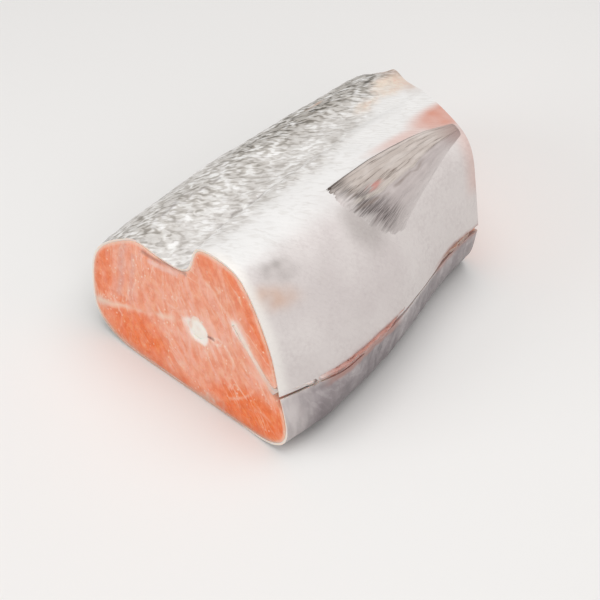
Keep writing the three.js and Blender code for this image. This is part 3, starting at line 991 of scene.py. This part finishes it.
# %% Flesh: patterns
raw_muscle, tree, shader = new_material("raw_salmon_muscle")
grain = add(tree, "UVMap", uv_map="grain")
here = add(tree, "TexCoord").outputs["Object"]
stretched = add(tree, "Mapping", {"Vector": grain, "Scale": (1.0, 0.4, 1.0)})
fibres = add(tree, "TexNoise", {
    "Vector": stretched, "Scale": 700.0, "Detail": 4.0, "Roughness": 0.6, "Distortion": 1.2,
})
bands = add(tree, "TexNoise", {"Vector": stretched, "Scale": 130.0, "Detail": 3.0, "Distortion": 1.6})
sheets = add(tree, "TexNoise", {"Vector": stretched, "Scale": 95.0, "Detail": 3.0, "Distortion": 1.0})
cloud = add(tree, "TexNoise", {"Vector": here, "Scale": 70.0, "Detail": 2.0})
grains = add(tree, "TexNoise", {"Vector": here, "Scale": 260.0, "Detail": 4.0, "Roughness": 0.65})
drops = add(tree, "TexVoronoi", {"Vector": here, "Scale": 480.0})
drop_own = add(tree, "SeparateColor", {0: drops.outputs["Color"]})

thin_lines = [(0.47, 0.0), (0.497, 1.0), (0.503, 1.0), (0.53, 0.0)]  # where the noise is near its middle
leaf_edges = add(tree, "ValToRGB", {0: sheets}, stops=thin_lines)
here_and_there = add(tree, "ValToRGB", {0: cloud}, stops=[(0.42, 0.1), (0.6, 1.0)])
pale_bands = add(tree, "ValToRGB", {0: bands}, stops=[(0.44, 0.0), (0.66, 1.0)])
deep_bands = add(tree, "ValToRGB", {0: bands}, stops=[(0.34, 1.0), (0.5, 0.0)])
threads = add(tree, "ValToRGB", {0: fibres}, stops=[(0.5, 0.0), (0.72, 1.0)])
dark_grains = add(tree, "ValToRGB", {0: grains}, stops=[(0.36, 1.0), (0.52, 0.0)])
pale_grains = add(tree, "ValToRGB", {0: grains}, stops=[(0.52, 0.0), (0.68, 1.0)])
# Pale dots: fat specks, and painted highlights of the wet surface
drop = add(tree, "MapRange", {"Value": drops.outputs["Distance"], "From Min": 0.32, "From Max": 0.12})
specks_and_glints = add(tree, "ValToRGB", {0: drop_own.outputs[0]}, stops=[(0.68, 0.0), (0.75, 1.0)])
print("flesh patterns:", len(tree.nodes), "nodes")

# %% Flesh: colours
FALLING = {"To Min": 1.0, "To Max": 0.0}
septum = add(tree, "Attribute", attribute_name="septum").outputs["Fac"]
septum = add(tree, "Math", {0: septum}, operation="ABSOLUTE")
septum = add(tree, "MapRange", {"Value": septum, "From Min": 0.2, "From Max": 2.2, **FALLING})
near_rim = add(tree, "Attribute", attribute_name="from_rim").outputs["Fac"]
near_rim = add(tree, "MapRange", {"Value": near_rim, "From Min": 0.1, "From Max": 1.5, **FALLING})
tone = coats(
    tree, "#f0a080",
    ("#ec6616", "orange", 0.9),
    ("#efb3a3", pale_bands, 0.55),
    ("#e3805a", deep_bands, 0.5),
    ("#dba79d", "lilac", 0.65),
    ("#f7bd93", threads, 0.38),
    ("#df7c57", dark_grains, 0.4),
    ("#f6c6a8", pale_grains, 0.3),
    ("#ee6c06", "orange", 0.62),
    ("#f6ab70", "orange", threads, 0.5),
    ("#d95a20", "orange", dark_grains, 0.4),
    ("#f3c3b1", "haze", pale_bands, 0.7),
    ("#f3c9b9", "haze", 0.3),
    ("#f7dac6", leaf_edges, here_and_there, 0.4),
    ("#f4d0ba", septum, here_and_there, 0.7),
    ("#f9dcc8", "seams", here_and_there, 0.45),
    # Pale dots: partly fat specks, partly painted wet highlights
    ("#fbe9d3", drop, specks_and_glints, here_and_there, 0.6),
    ("#dccabb", "scrap"),
    ("#f8efe6", "gristle"),
    ("#f4d6c3", near_rim, 0.6),
    ("#c5683f", "shade", 0.45),
    ("#ecc9c0", "scar", 0.6),
    ("#96594d", "bruise", 0.65),
    ("#7a3d35", "vessel"),
    ("#cfc0b9", "walls", 0.9),
)
feed(tree, shader, {"Base Color": tone})
print("flesh colours:", len(tree.nodes), "nodes")

# %% Flesh: moist surface
bump = add(tree, "Bump", {"Strength": 0.35, "Distance": 0.0004, "Height": fibres})
bump = add(tree, "Bump", {"Strength": 0.35, "Distance": 0.0005, "Height": grains, "Normal": bump})
bump = add(tree, "Bump", {"Strength": 0.35, "Distance": 0.0005, "Height": bands, "Normal": bump})
gloss = add(tree, "MapRange", {
    "Value": cloud, "From Min": 0.35, "From Max": 0.65, "To Min": 0.26, "To Max": 0.46,
})
feed(tree, shader, {
    "Normal": bump, "Roughness": gloss, "IOR": 1.4, "Coat Weight": 0.25, "Coat Roughness": 0.2,
    "Subsurface Weight": 0.3, "Subsurface Radius": (1.0, 0.35, 0.2), "Subsurface Scale": 0.002,
})
finish_piece(flesh, "flesh", "flesh", raw_muscle)

# %% [markdown]
# ## Backbone: a sawn vertebra
#
# The backbone is a row of hourglass-shaped bones. A cut through one shows a pale disc, hollow in the
# middle where the soft cord runs, with a rough sawn face and no sharp edge. Its solid is a plain rod,
# so only its two ends show, and they get the same small squares as the muscle.

# %% Backbone: shape
SAWN_FACE = {-1: (7.1, 6.1), 1: (6.2, 5.6)}  # half axes of the face in mm, at the tail and at the head
SAWN_TILT = math.radians(-17)
SAWN_BONE = (-9.4, 37.2)  # middle of the white bone on the tail-side face, with pinker tissue round it
SAWN_STEP = 0.0006
MARROW = {-1: "tail_marrow", 1: "head_marrow"}


def search_tree(points):
    """A tree that finds the nearest of these points."""
    tree = kdtree.KDTree(len(points))
    for number, point in enumerate(points):
        tree.insert(point, number)
    tree.balance()
    return tree


def face_reach(way, dx, dz):
    """How far the sawn face reaches from its middle, toward (dx, dz)."""
    angle = math.atan2(dz, dx) - SAWN_TILT
    long, short = SAWN_FACE[way]
    oval = long * short / math.hypot(short * math.cos(angle), long * math.sin(angle))
    return oval * (1 + 0.08 * noise.noise(Vector((math.cos(angle), math.sin(angle), way)) * 1.4))


def pinker_tissue(p):
    """1 outside the white bone of the tail-side face, and 0 on it and away from that face."""
    if p.y >= 60:
        return 0.0
    from_bone = math.hypot(p.x - SAWN_BONE[0], p.z - SAWN_BONE[1]) + 2.6 * wobble(p, 5)
    return smooth(from_bone, 4.6, 6.8)


backbone = merged_copy("backbone", "sawn_backbone")
mark_ends(backbone)
for way in (-1, 1):
    divide_end(backbone, way, SAWN_STEP)
    end, rim = end_and_rim(backbone, way)
    rim = [backbone.data.vertices[index].co.copy() for index in rim]
    nearest = search_tree(rim)
    middle = sum(rim, Vector()) / len(rim)
    for index in end:
        v = backbone.data.vertices[index]
        p, inward = on_fish(v.co), nearest.find(v.co)[2]
        dx, dz = v.co.x - middle.x, v.co.z - middle.z
        own_reach = math.hypot(dx, dz)
        share = own_reach / (own_reach + inward)
        reach = share * face_reach(way, dx, dz) / 1000
        level = mix(1.1, 0.75, smooth(share, 0.4, 1.0)) - 0.2 * smooth(share, 0.4, 0.1)
        if own_reach > 0:
            v.co.x, v.co.z = middle.x + dx / own_reach * reach, middle.z + dz / own_reach * reach
        v.co.y += way * (level + 0.18 * wobble(p, 1.6) + 0.15 * wobble(p, 3.8, 5.0)) / 1000
    paint(backbone, **{MARROW[way]: lambda p: smooth((in_frame(*p) - middle).length * 1000, 2.4, 0.6)})
paint(backbone, tissue=pinker_tissue)
backbone.data.update()
print("backbone:", len(backbone.data.vertices), "points")

# %% Backbone: material
# Bone cut with a saw is chalky and pitted, so it stays pale and shines only softly where it is wet.
# Its pores are drawn about 1 mm wide, coarser than the real ones, so that they show.
bone, tree, shader = new_material("sawn_vertebra_bone")
here = add(tree, "TexCoord").outputs["Object"]
pores = add(tree, "TexNoise", {"Vector": here, "Scale": 900.0, "Detail": 3.0})
uneven = add(tree, "TexNoise", {"Vector": here, "Scale": 260.0, "Detail": 2.0})
tone = coats(
    tree, "#f8f2e9",
    ("#e6dccf", uneven, 0.5),
    ("#e6cdbd", "tail_marrow", 0.3),
    ("#e6cdbd", "head_marrow", 0.3),
    ("#f0cdbb", "tissue", 0.75),
)
bump = add(tree, "Bump", {"Strength": 0.5, "Distance": 0.0003, "Height": pores})
feed(tree, shader, {
    "Base Color": tone, "Normal": bump,
    "Roughness": 0.42, "Coat Weight": 0.2, "Coat Roughness": 0.25, "Subsurface Weight": 0.3,
    "Subsurface Radius": (1.0, 0.7, 0.5), "Subsurface Scale": 0.0015,
})
finish_piece(backbone, "backbone", "bone", bone)

# %% [markdown]
# ## Belly lining: the folded membrane
#
# The emptied belly has a thin tough lining, white where it was cut through, and red to brown where
# blood and air have reached it. It lies folded between the two flaps, and it shows twice: as a white
# strip on the cut, and deep in the slit wherever its lips gape. The solid stops a little behind the
# lips, so its front edge is drawn forward there, with small folds.

# %% Belly lining: shape
LIPS_OPEN = [  # places along the fish, and how far the lips gape there, as a share
    (0, 0.1), (8, 0.6), (24, 0.9), (34, 1.0), (66, 1.0), (80, 0.6), (90, 0.4), (124, 0.5),
    (138, 0.95), (150, 0.85), (160, 0.3),
]
TOWARD_LIPS = Vector((0.91, 0.0, -0.41))
FRONT_REACH = 4.9  # millimetres that the front edge is drawn forward where the lips gape most
LONG_EDGE = 0.005  # metres along the fish from which an edge is divided
LINING_SWELL = 0.00025  # metres that the membrane stands into the muscle, so that no gap shows
FRONT_PUFF = 0.0007  # metres that each side of its front edge puffs out where the lips gape most
END_PROUD = 0.0006  # metres that its ends are moved out of both cuts

lining = merged_copy("belly_lining", "belly_membrane")
bpy.ops.object.mode_set(mode="EDIT")
bpy.ops.mesh.select_mode(type="EDGE")
bpy.ops.mesh.select_all(action="DESELECT")
mesh = bmesh.from_edit_mesh(lining.data)
for edge in mesh.edges:
    edge.select = abs(edge.verts[0].co.y - edge.verts[1].co.y) > LONG_EDGE
bmesh.update_edit_mesh(lining.data)
bpy.ops.mesh.subdivide(number_cuts=9)
bpy.ops.mesh.select_all(action="SELECT")
bpy.ops.transform.shrink_fatten(value=LINING_SWELL)
bpy.ops.mesh.select_all(action="DESELECT")
bpy.ops.object.mode_set(mode="OBJECT")
print("lining:", len(lining.data.vertices), "points")

# %% Belly lining: front edge and colours
SLIT = [  # places along the fish, and how far toward the belly the slit lies there
    (3, 42.8), (8, 45), (20, 48), (32, 50), (60, 49.6), (78, 48.7), (99, 43), (114, 38),
    (131, 35.5), (159, 31),
]


def at_front(p):
    """1 up to 4.8 mm behind the slit, measured across the fish, and 0 from 8.2 mm."""
    return smooth(follow(SLIT, p.y) - p.x, 8.2, 4.8)


def front_edge(p):
    """How far the front edge is drawn forward, in millimetres, with small folds."""
    reach = FRONT_REACH * follow(LIPS_OPEN, p.y) + 0.7 * wobble(p, 6) + 0.35 * wobble(p, 2, 3.0)
    return at_front(p) * max(0.0, reach)


def white_core(p):
    """The membrane's white middle on the tail-side cut, and all of it further in."""
    if p.y >= 60:
        return 1.0
    return near_line(p.x, p.z, LINING_FOLD, mix(1.5, 3.2, smooth(p.z, 31, 44)))


def blood_drops(p):
    """The bead and the clot of dark blood, where they lie on the membrane."""
    return max(0.9 * patch(p.y, p.z, (21, 32), (1.6, 3)), 0.8 * patch(p.y, p.z, (34, 31.5), (3.5, 2.5)))


for v in lining.data.vertices:
    p = on_fish(v.co)
    at_end = smooth(from_head_cut(p), 0.8, 0.2) - smooth(from_tail_cut(p), 0.8, 0.2)
    puffed = at_front(p) * follow(LIPS_OPEN, p.y) * FRONT_PUFF
    v.co += TOWARD_LIPS * (front_edge(p) / 1000) + v.normal * puffed + Vector((0, at_end * END_PROUD, 0))
lining.data.update()
paint(
    lining, front=at_front, core=white_core, clot=blood_drops,
    red=lambda p: smooth(p.y, 20, 32) * smooth(p.y, 92, 76), brown=lambda p: smooth(p.y, 92, 132),
)
print("lining: front edge drawn up to", FRONT_REACH, "mm forward, plus its folds")

# %% Belly lining: material
# The membrane of the belly is thin, smooth and wet, so it shines more than the muscle. Where it is
# sliced it is white, and blood has dried pink to brown on its open edge.
membrane, tree, shader = new_material("moist_belly_membrane")
here = add(tree, "TexCoord").outputs["Object"]
veins = add(tree, "TexNoise", {"Vector": here, "Scale": 300.0, "Detail": 3.0})
veins = add(tree, "ValToRGB", {0: veins}, stops=[(0.4, 0.0), (0.65, 1.0)])
tone = coats(
    tree, "#efb59b",
    ("#f8eee5", "core"),
    ("#edc9b4", veins, 0.35),
    ("#cdbfb8", "front"),
    ("#b98579", "front", "red"),
    ("#9c6459", "front", "red", veins, 0.4),
    ("#a98474", "front", "brown"),
    ("#55302c", "front", "clot"),
)
bump = add(tree, "Bump", {"Strength": 0.4, "Distance": 0.0003, "Height": veins})
feed(tree, shader, {
    "Base Color": tone, "Normal": bump,
    "Roughness": 0.32, "Coat Weight": 0.4, "Coat Roughness": 0.15, "Subsurface Weight": 0.3,
    "Subsurface Radius": (1.0, 0.5, 0.35), "Subsurface Scale": 0.0015,
})
finish_piece(lining, "belly_lining", "membrane", membrane)

# %% [markdown]
# ## Pectoral fin: a folded fan
#
# The fin is a fan of bony rays in a thin grey skin, folded back on the flank. Its leading rays lie
# close together in a thick brownish band, and the rest of the web is so thin that the flank shines
# through. A grid is laid out in plan, one side for the way across the rays and one for the way out
# along them. Shrinkwrap drops it on the flank, the rays are pressed into it, and Solidify closes it.

# %% Fin: plan
FIN_ROOT = [(5.5, 169.6), (12.5, 166.4)]
FIN_EDGE = [(-3.2, 81), (8, 78), (21, 75.5), (31.5, 87), (32, 113)]
FIN_BOW = -6.6
FIN_ACROSS = 150
FIN_OUT = 110
FIN_THICKNESS = 0.0006
ABOVE_FLANK = 120  # height in mm from which the grid is dropped


def on_spline(points, share):
    """A point of the smooth line through points, at a share of its way."""
    spans = len(points) - 1
    span = min(int(share * spans), spans - 1)
    t = share * spans - span
    a, b, c, d = (Vector(points[min(max(span + k, 0), spans)]) for k in (-1, 0, 1, 2))
    before, after = (c - a) / 2, (d - b) / 2
    return b + before * t + (3 * (c - b) - 2 * before - after) * t**2 + (2 * (b - c) + before + after) * t**3


def fin_place(across, out):
    """Where a point of the fin lies in plan. Across runs from the leading ray, out from the root."""
    root = Vector(FIN_ROOT[0]).lerp(Vector(FIN_ROOT[1]), across)
    place = root.lerp(on_spline(FIN_EDGE, across), out)
    bow = FIN_BOW * (1 - across) ** 1.5 * math.sin(math.pi * out**0.8)
    return place.x + bow, place.y


bpy.ops.object.select_all(action="DESELECT")
bpy.ops.mesh.primitive_grid_add(x_subdivisions=FIN_ACROSS, y_subdivisions=FIN_OUT, size=1)
fin = bpy.context.object
fin.name = "folded_pectoral_fin"
fin_shares = [(v.co.x + 0.5, 0.5 - v.co.y) for v in fin.data.vertices]
for v, (across, out) in zip(fin.data.vertices, fin_shares):
    v.co = in_frame(*fin_place(across, out), ABOVE_FLANK)
apply(
    fin, "SHRINKWRAP", target=skin, wrap_method="PROJECT", use_project_z=True,
    use_negative_direction=True, use_positive_direction=False,
)
print("fin:", len(fin.data.vertices), "points on the flank")

# %% Fin: rays and web
BAND_RAYS = 6
WEB_RAYS = 15
SUNK = -0.45  # height at the edges that must melt into the flank
BAND_EDGE = [(0, 0.5), (0.3, 0.46), (0.45, 0.51), (0.6, 0.48), (0.72, 0.46), (0.85, 0.38), (1.0, 0.3)]


def past_band(across, out):
    """How far across a point lies behind the wavy edge of the thick band of leading rays."""
    return across - follow(BAND_EDGE, out) + 0.03 * noise.noise(Vector((across * 4, out * 11, 0)))


def in_band(across, out):
    """1 in the band of leading rays, and 0 in the web behind it."""
    return smooth(past_band(across, out), 0.02, -0.02)


def ridges(share, count):
    """A number of even ridges over a share from 0 to 1, each from 0 up to 1 and back."""
    return 0.5 - 0.5 * math.cos(2 * math.pi * share * count)


def ragged_end(across):
    """How far out the web reaches: its rays end at slightly different lengths."""
    missing = abs(noise.noise(Vector((across * 30, 0, 0)))) + abs(noise.noise(Vector((across * 11, 3, 0))))
    return 0.995 - 0.035 * missing


def fin_height(across, out):
    """How far the fin stands above the flank, in millimetres."""
    within = min(1.0, across / follow(BAND_EDGE, out))
    band = mix(1.5, 0.8, out**0.6) + 0.25 * ridges(within, BAND_RAYS) * smooth(out, 0.05, 0.3)
    band += 0.3 * smooth(within, 0.75, 1.0) * smooth(out, 0.1, 0.5)
    web = mix(1.0, 0.2, out**0.45) + 0.12 * ridges(across, WEB_RAYS) * smooth(out, 0.15, 0.5)
    height = mix(web, band, in_band(across, out))
    lead = smooth(across, -0.01, 0.025)
    sides = smooth(across, 1, mix(0.5, 0.7, out)) * smooth(out, 0, 0.035)
    end = smooth(out, ragged_end(across), ragged_end(across) - mix(0.03, 0.09, smooth(across, 0.3, 0.5)))
    return mix(mix(SUNK, mix(0.3, height, lead), sides), SUNK, 1 - end)


fin.data.update()
moves = [v.normal * (fin_height(*s) / 1000) for v, s in zip(fin.data.vertices, fin_shares)]
up = 1 if fin.data.vertices[0].normal.z > 0 else -1
for v, move in zip(fin.data.vertices, moves):
    v.co += move * up
spread = fin.data.uv_layers[0]
spread.name = "rays"
for loop in fin.data.loops:
    spread.data[loop.index].uv = fin_shares[loop.vertex_index]
only(fin)
bpy.ops.object.mode_set(mode="EDIT")
bpy.ops.mesh.select_all(action="SELECT")
if up < 0:
    bpy.ops.mesh.flip_normals()
bpy.ops.object.mode_set(mode="OBJECT")
print("fin: rays and web pressed into it")

# %% Fin: where its colours lie
def hems(past, out, middle):
    """1 along a line beside the band's edge, on the outer half of the fin."""
    return smooth(abs(past - middle), 0.03, 0.005) * smooth(out, 0.3, 0.45)


def frayed(across, out):
    """Uneven ends, from -1 to 1, which differ from ray to ray."""
    return noise.noise(Vector((across * 40, out * 4, 7)))


FIN_ZONES = {
    "band": in_band,
    "hem": lambda a, o: hems(past_band(a, o), o, -0.005),
    "under_hem": lambda a, o: hems(past_band(a, o), o, 0.055),
    "tips": lambda a, o: smooth(o, 0.66, 0.84) * smooth(a, 0.24, 0.36) * smooth(a, 0.8, 0.66),
    "hatched": lambda a, o: smooth(o, 0.72, 0.84) * smooth(a, 0.66, 0.75) * smooth(a, 0.97, 0.86),
    "end": lambda a, o: smooth(o, 0.8, 0.92) * in_band(a, o),
    "red": lambda a, o: (
        patch(a, o, (0.37, 0.73), (0.06, 0.1), 25, 0.2) * smooth(frayed(a, o * 3), -0.25, 0.2)
    ),
    # lead: a dark line on the leading ray, its own dark edge and a painted shadow beneath it
    "lead": lambda a, o: smooth(a, 0.055, 0.03) * smooth(o, 0.1, 0.35),
    "root": lambda a, o: smooth(o, 0.22, 0.02),
    "fading": lambda a, o: max(
        smooth(a, 0.6, 0.95), smooth(o + 0.06 * frayed(a, o), 0.86, 0.98) * smooth(a, 0.04, 0.3)
    ),
    "ray": lambda a, o: a / follow(BAND_EDGE, o),
}
for name, zone in FIN_ZONES.items():
    layer = fin.data.attributes.new(name, "FLOAT", "POINT")
    layer.data.foreach_set("value", [zone(*shares) for shares in fin_shares])
paint(fin, smudge=smudged)
apply(fin, "SOLIDIFY", thickness=FIN_THICKNESS, offset=-1)
print("fin:", len(fin.data.polygons), "faces with its underside")

# %% Fin: patterns
# Bony rays under thin wet skin. In the band they are hard, close and brownish, and the web between
# the others is so thin that it takes on the flank's grey, cloudy look toward its edges. That grey is
# partly the flank's painted shade. The map runs from 0 to 1 both ways, so a noise of scale 38 gives
# about 38 streaks across the fan.
fin_skin, tree, shader = new_material("fin_rays_and_web")
rays = add(tree, "UVMap", uv_map="rays")
here = add(tree, "TexCoord").outputs["Object"]
along_streaks = add(tree, "Mapping", {"Vector": rays, "Scale": (38.0, 2.5, 1.0)})
along_hatch = add(tree, "Mapping", {"Vector": rays, "Scale": (110.0, 6.0, 1.0)})
along_patches = add(tree, "Mapping", {"Vector": rays, "Scale": (9.0, 7.0, 1.0)})
streaks = add(tree, "TexNoise", {"Vector": along_streaks, "Scale": 1.0, "Detail": 2.0})
hatch = add(tree, "TexNoise", {"Vector": along_hatch, "Scale": 1.0, "Detail": 2.0, "Distortion": 0.6})
uneven = add(tree, "TexNoise", {"Vector": along_patches, "Scale": 1.0, "Detail": 2.0})
broad = add(tree, "TexNoise", {"Vector": here, "Scale": 30.0, "Detail": 2.0})
cloud = add(tree, "ValToRGB", {0: broad}, stops=[(0.4, 0.0), (0.65, 1.0)])
patches = add(tree, "MapRange", {"Value": uneven, "From Min": 0.36, "From Max": 0.58})
hairs = add(tree, "MapRange", {"Value": hatch, "From Min": 0.42, "From Max": 0.6})
ray_number = add(tree, "Attribute", attribute_name="ray").outputs["Fac"]
ray_number = add(tree, "Math", {0: ray_number, 1: 5.0}, operation="MULTIPLY")
ray_number = add(tree, "Math", {0: streaks, 1: 2.0, 2: ray_number}, operation="MULTIPLY_ADD")
in_ray = add(tree, "Math", {0: ray_number}, operation="FRACT")
ray_lines = add(tree, "ValToRGB", {0: in_ray}, stops=[(0.0, 1.0), (0.1, 0.0), (0.9, 0.0), (1.0, 1.0)])
print("fin patterns:", len(tree.nodes), "nodes")

# %% Fin: colours and gloss
tone = coats(
    tree, "#c2b7b4",
    ("#b1a6a4", patches, 0.6),
    ("#d0c5be", "band"),
    ("#ab9c92", "band", patches, streaks, 0.9),
    ("#5f4c40", "band", ray_lines, patches, 0.85),
    ("#8a807e", "tips", 0.65),
    ("#4b423f", "tips", hairs, 0.95),
    ("#8b7f7d", "hatched", hairs, 0.7),
    ("#7d7169", "end", 0.6),
    ("#433a36", "end", hairs, 0.8),
    ("#ebe1d6", "hem", streaks, patches, 0.9),
    ("#7a695e", "under_hem", patches, 0.6),
    ("#c4786e", "red", 0.75),
    # fading: the flank's colours, whose grey is partly painted shade
    ("#dcd4d1", "fading"),
    ("#cdc3c1", "fading", cloud, 0.6),
    ("#8b827d", "fading", "smudge"),
    ("#a3857e", "root", 0.75),
    # lead: the leading ray's dark edge, with painted shadow beneath it
    ("#4a3a33", "lead", 0.85),
)
bump = add(tree, "Bump", {"Strength": 0.4, "Distance": 0.0003, "Height": hatch})
under_lines = {"Strength": 0.4, "Distance": 0.0004, "Height": ray_lines, "Normal": bump}
bump = add(tree, "Bump", under_lines, invert=True)
feed(tree, shader, {"Base Color": tone, "Normal": bump, "Roughness": 0.4, "IOR": 1.45})
feed(tree, shader, {"Coat Weight": 0.25, "Coat Roughness": 0.18})
finish_piece(fin, "pectoral_fin", "fin", fin_skin)
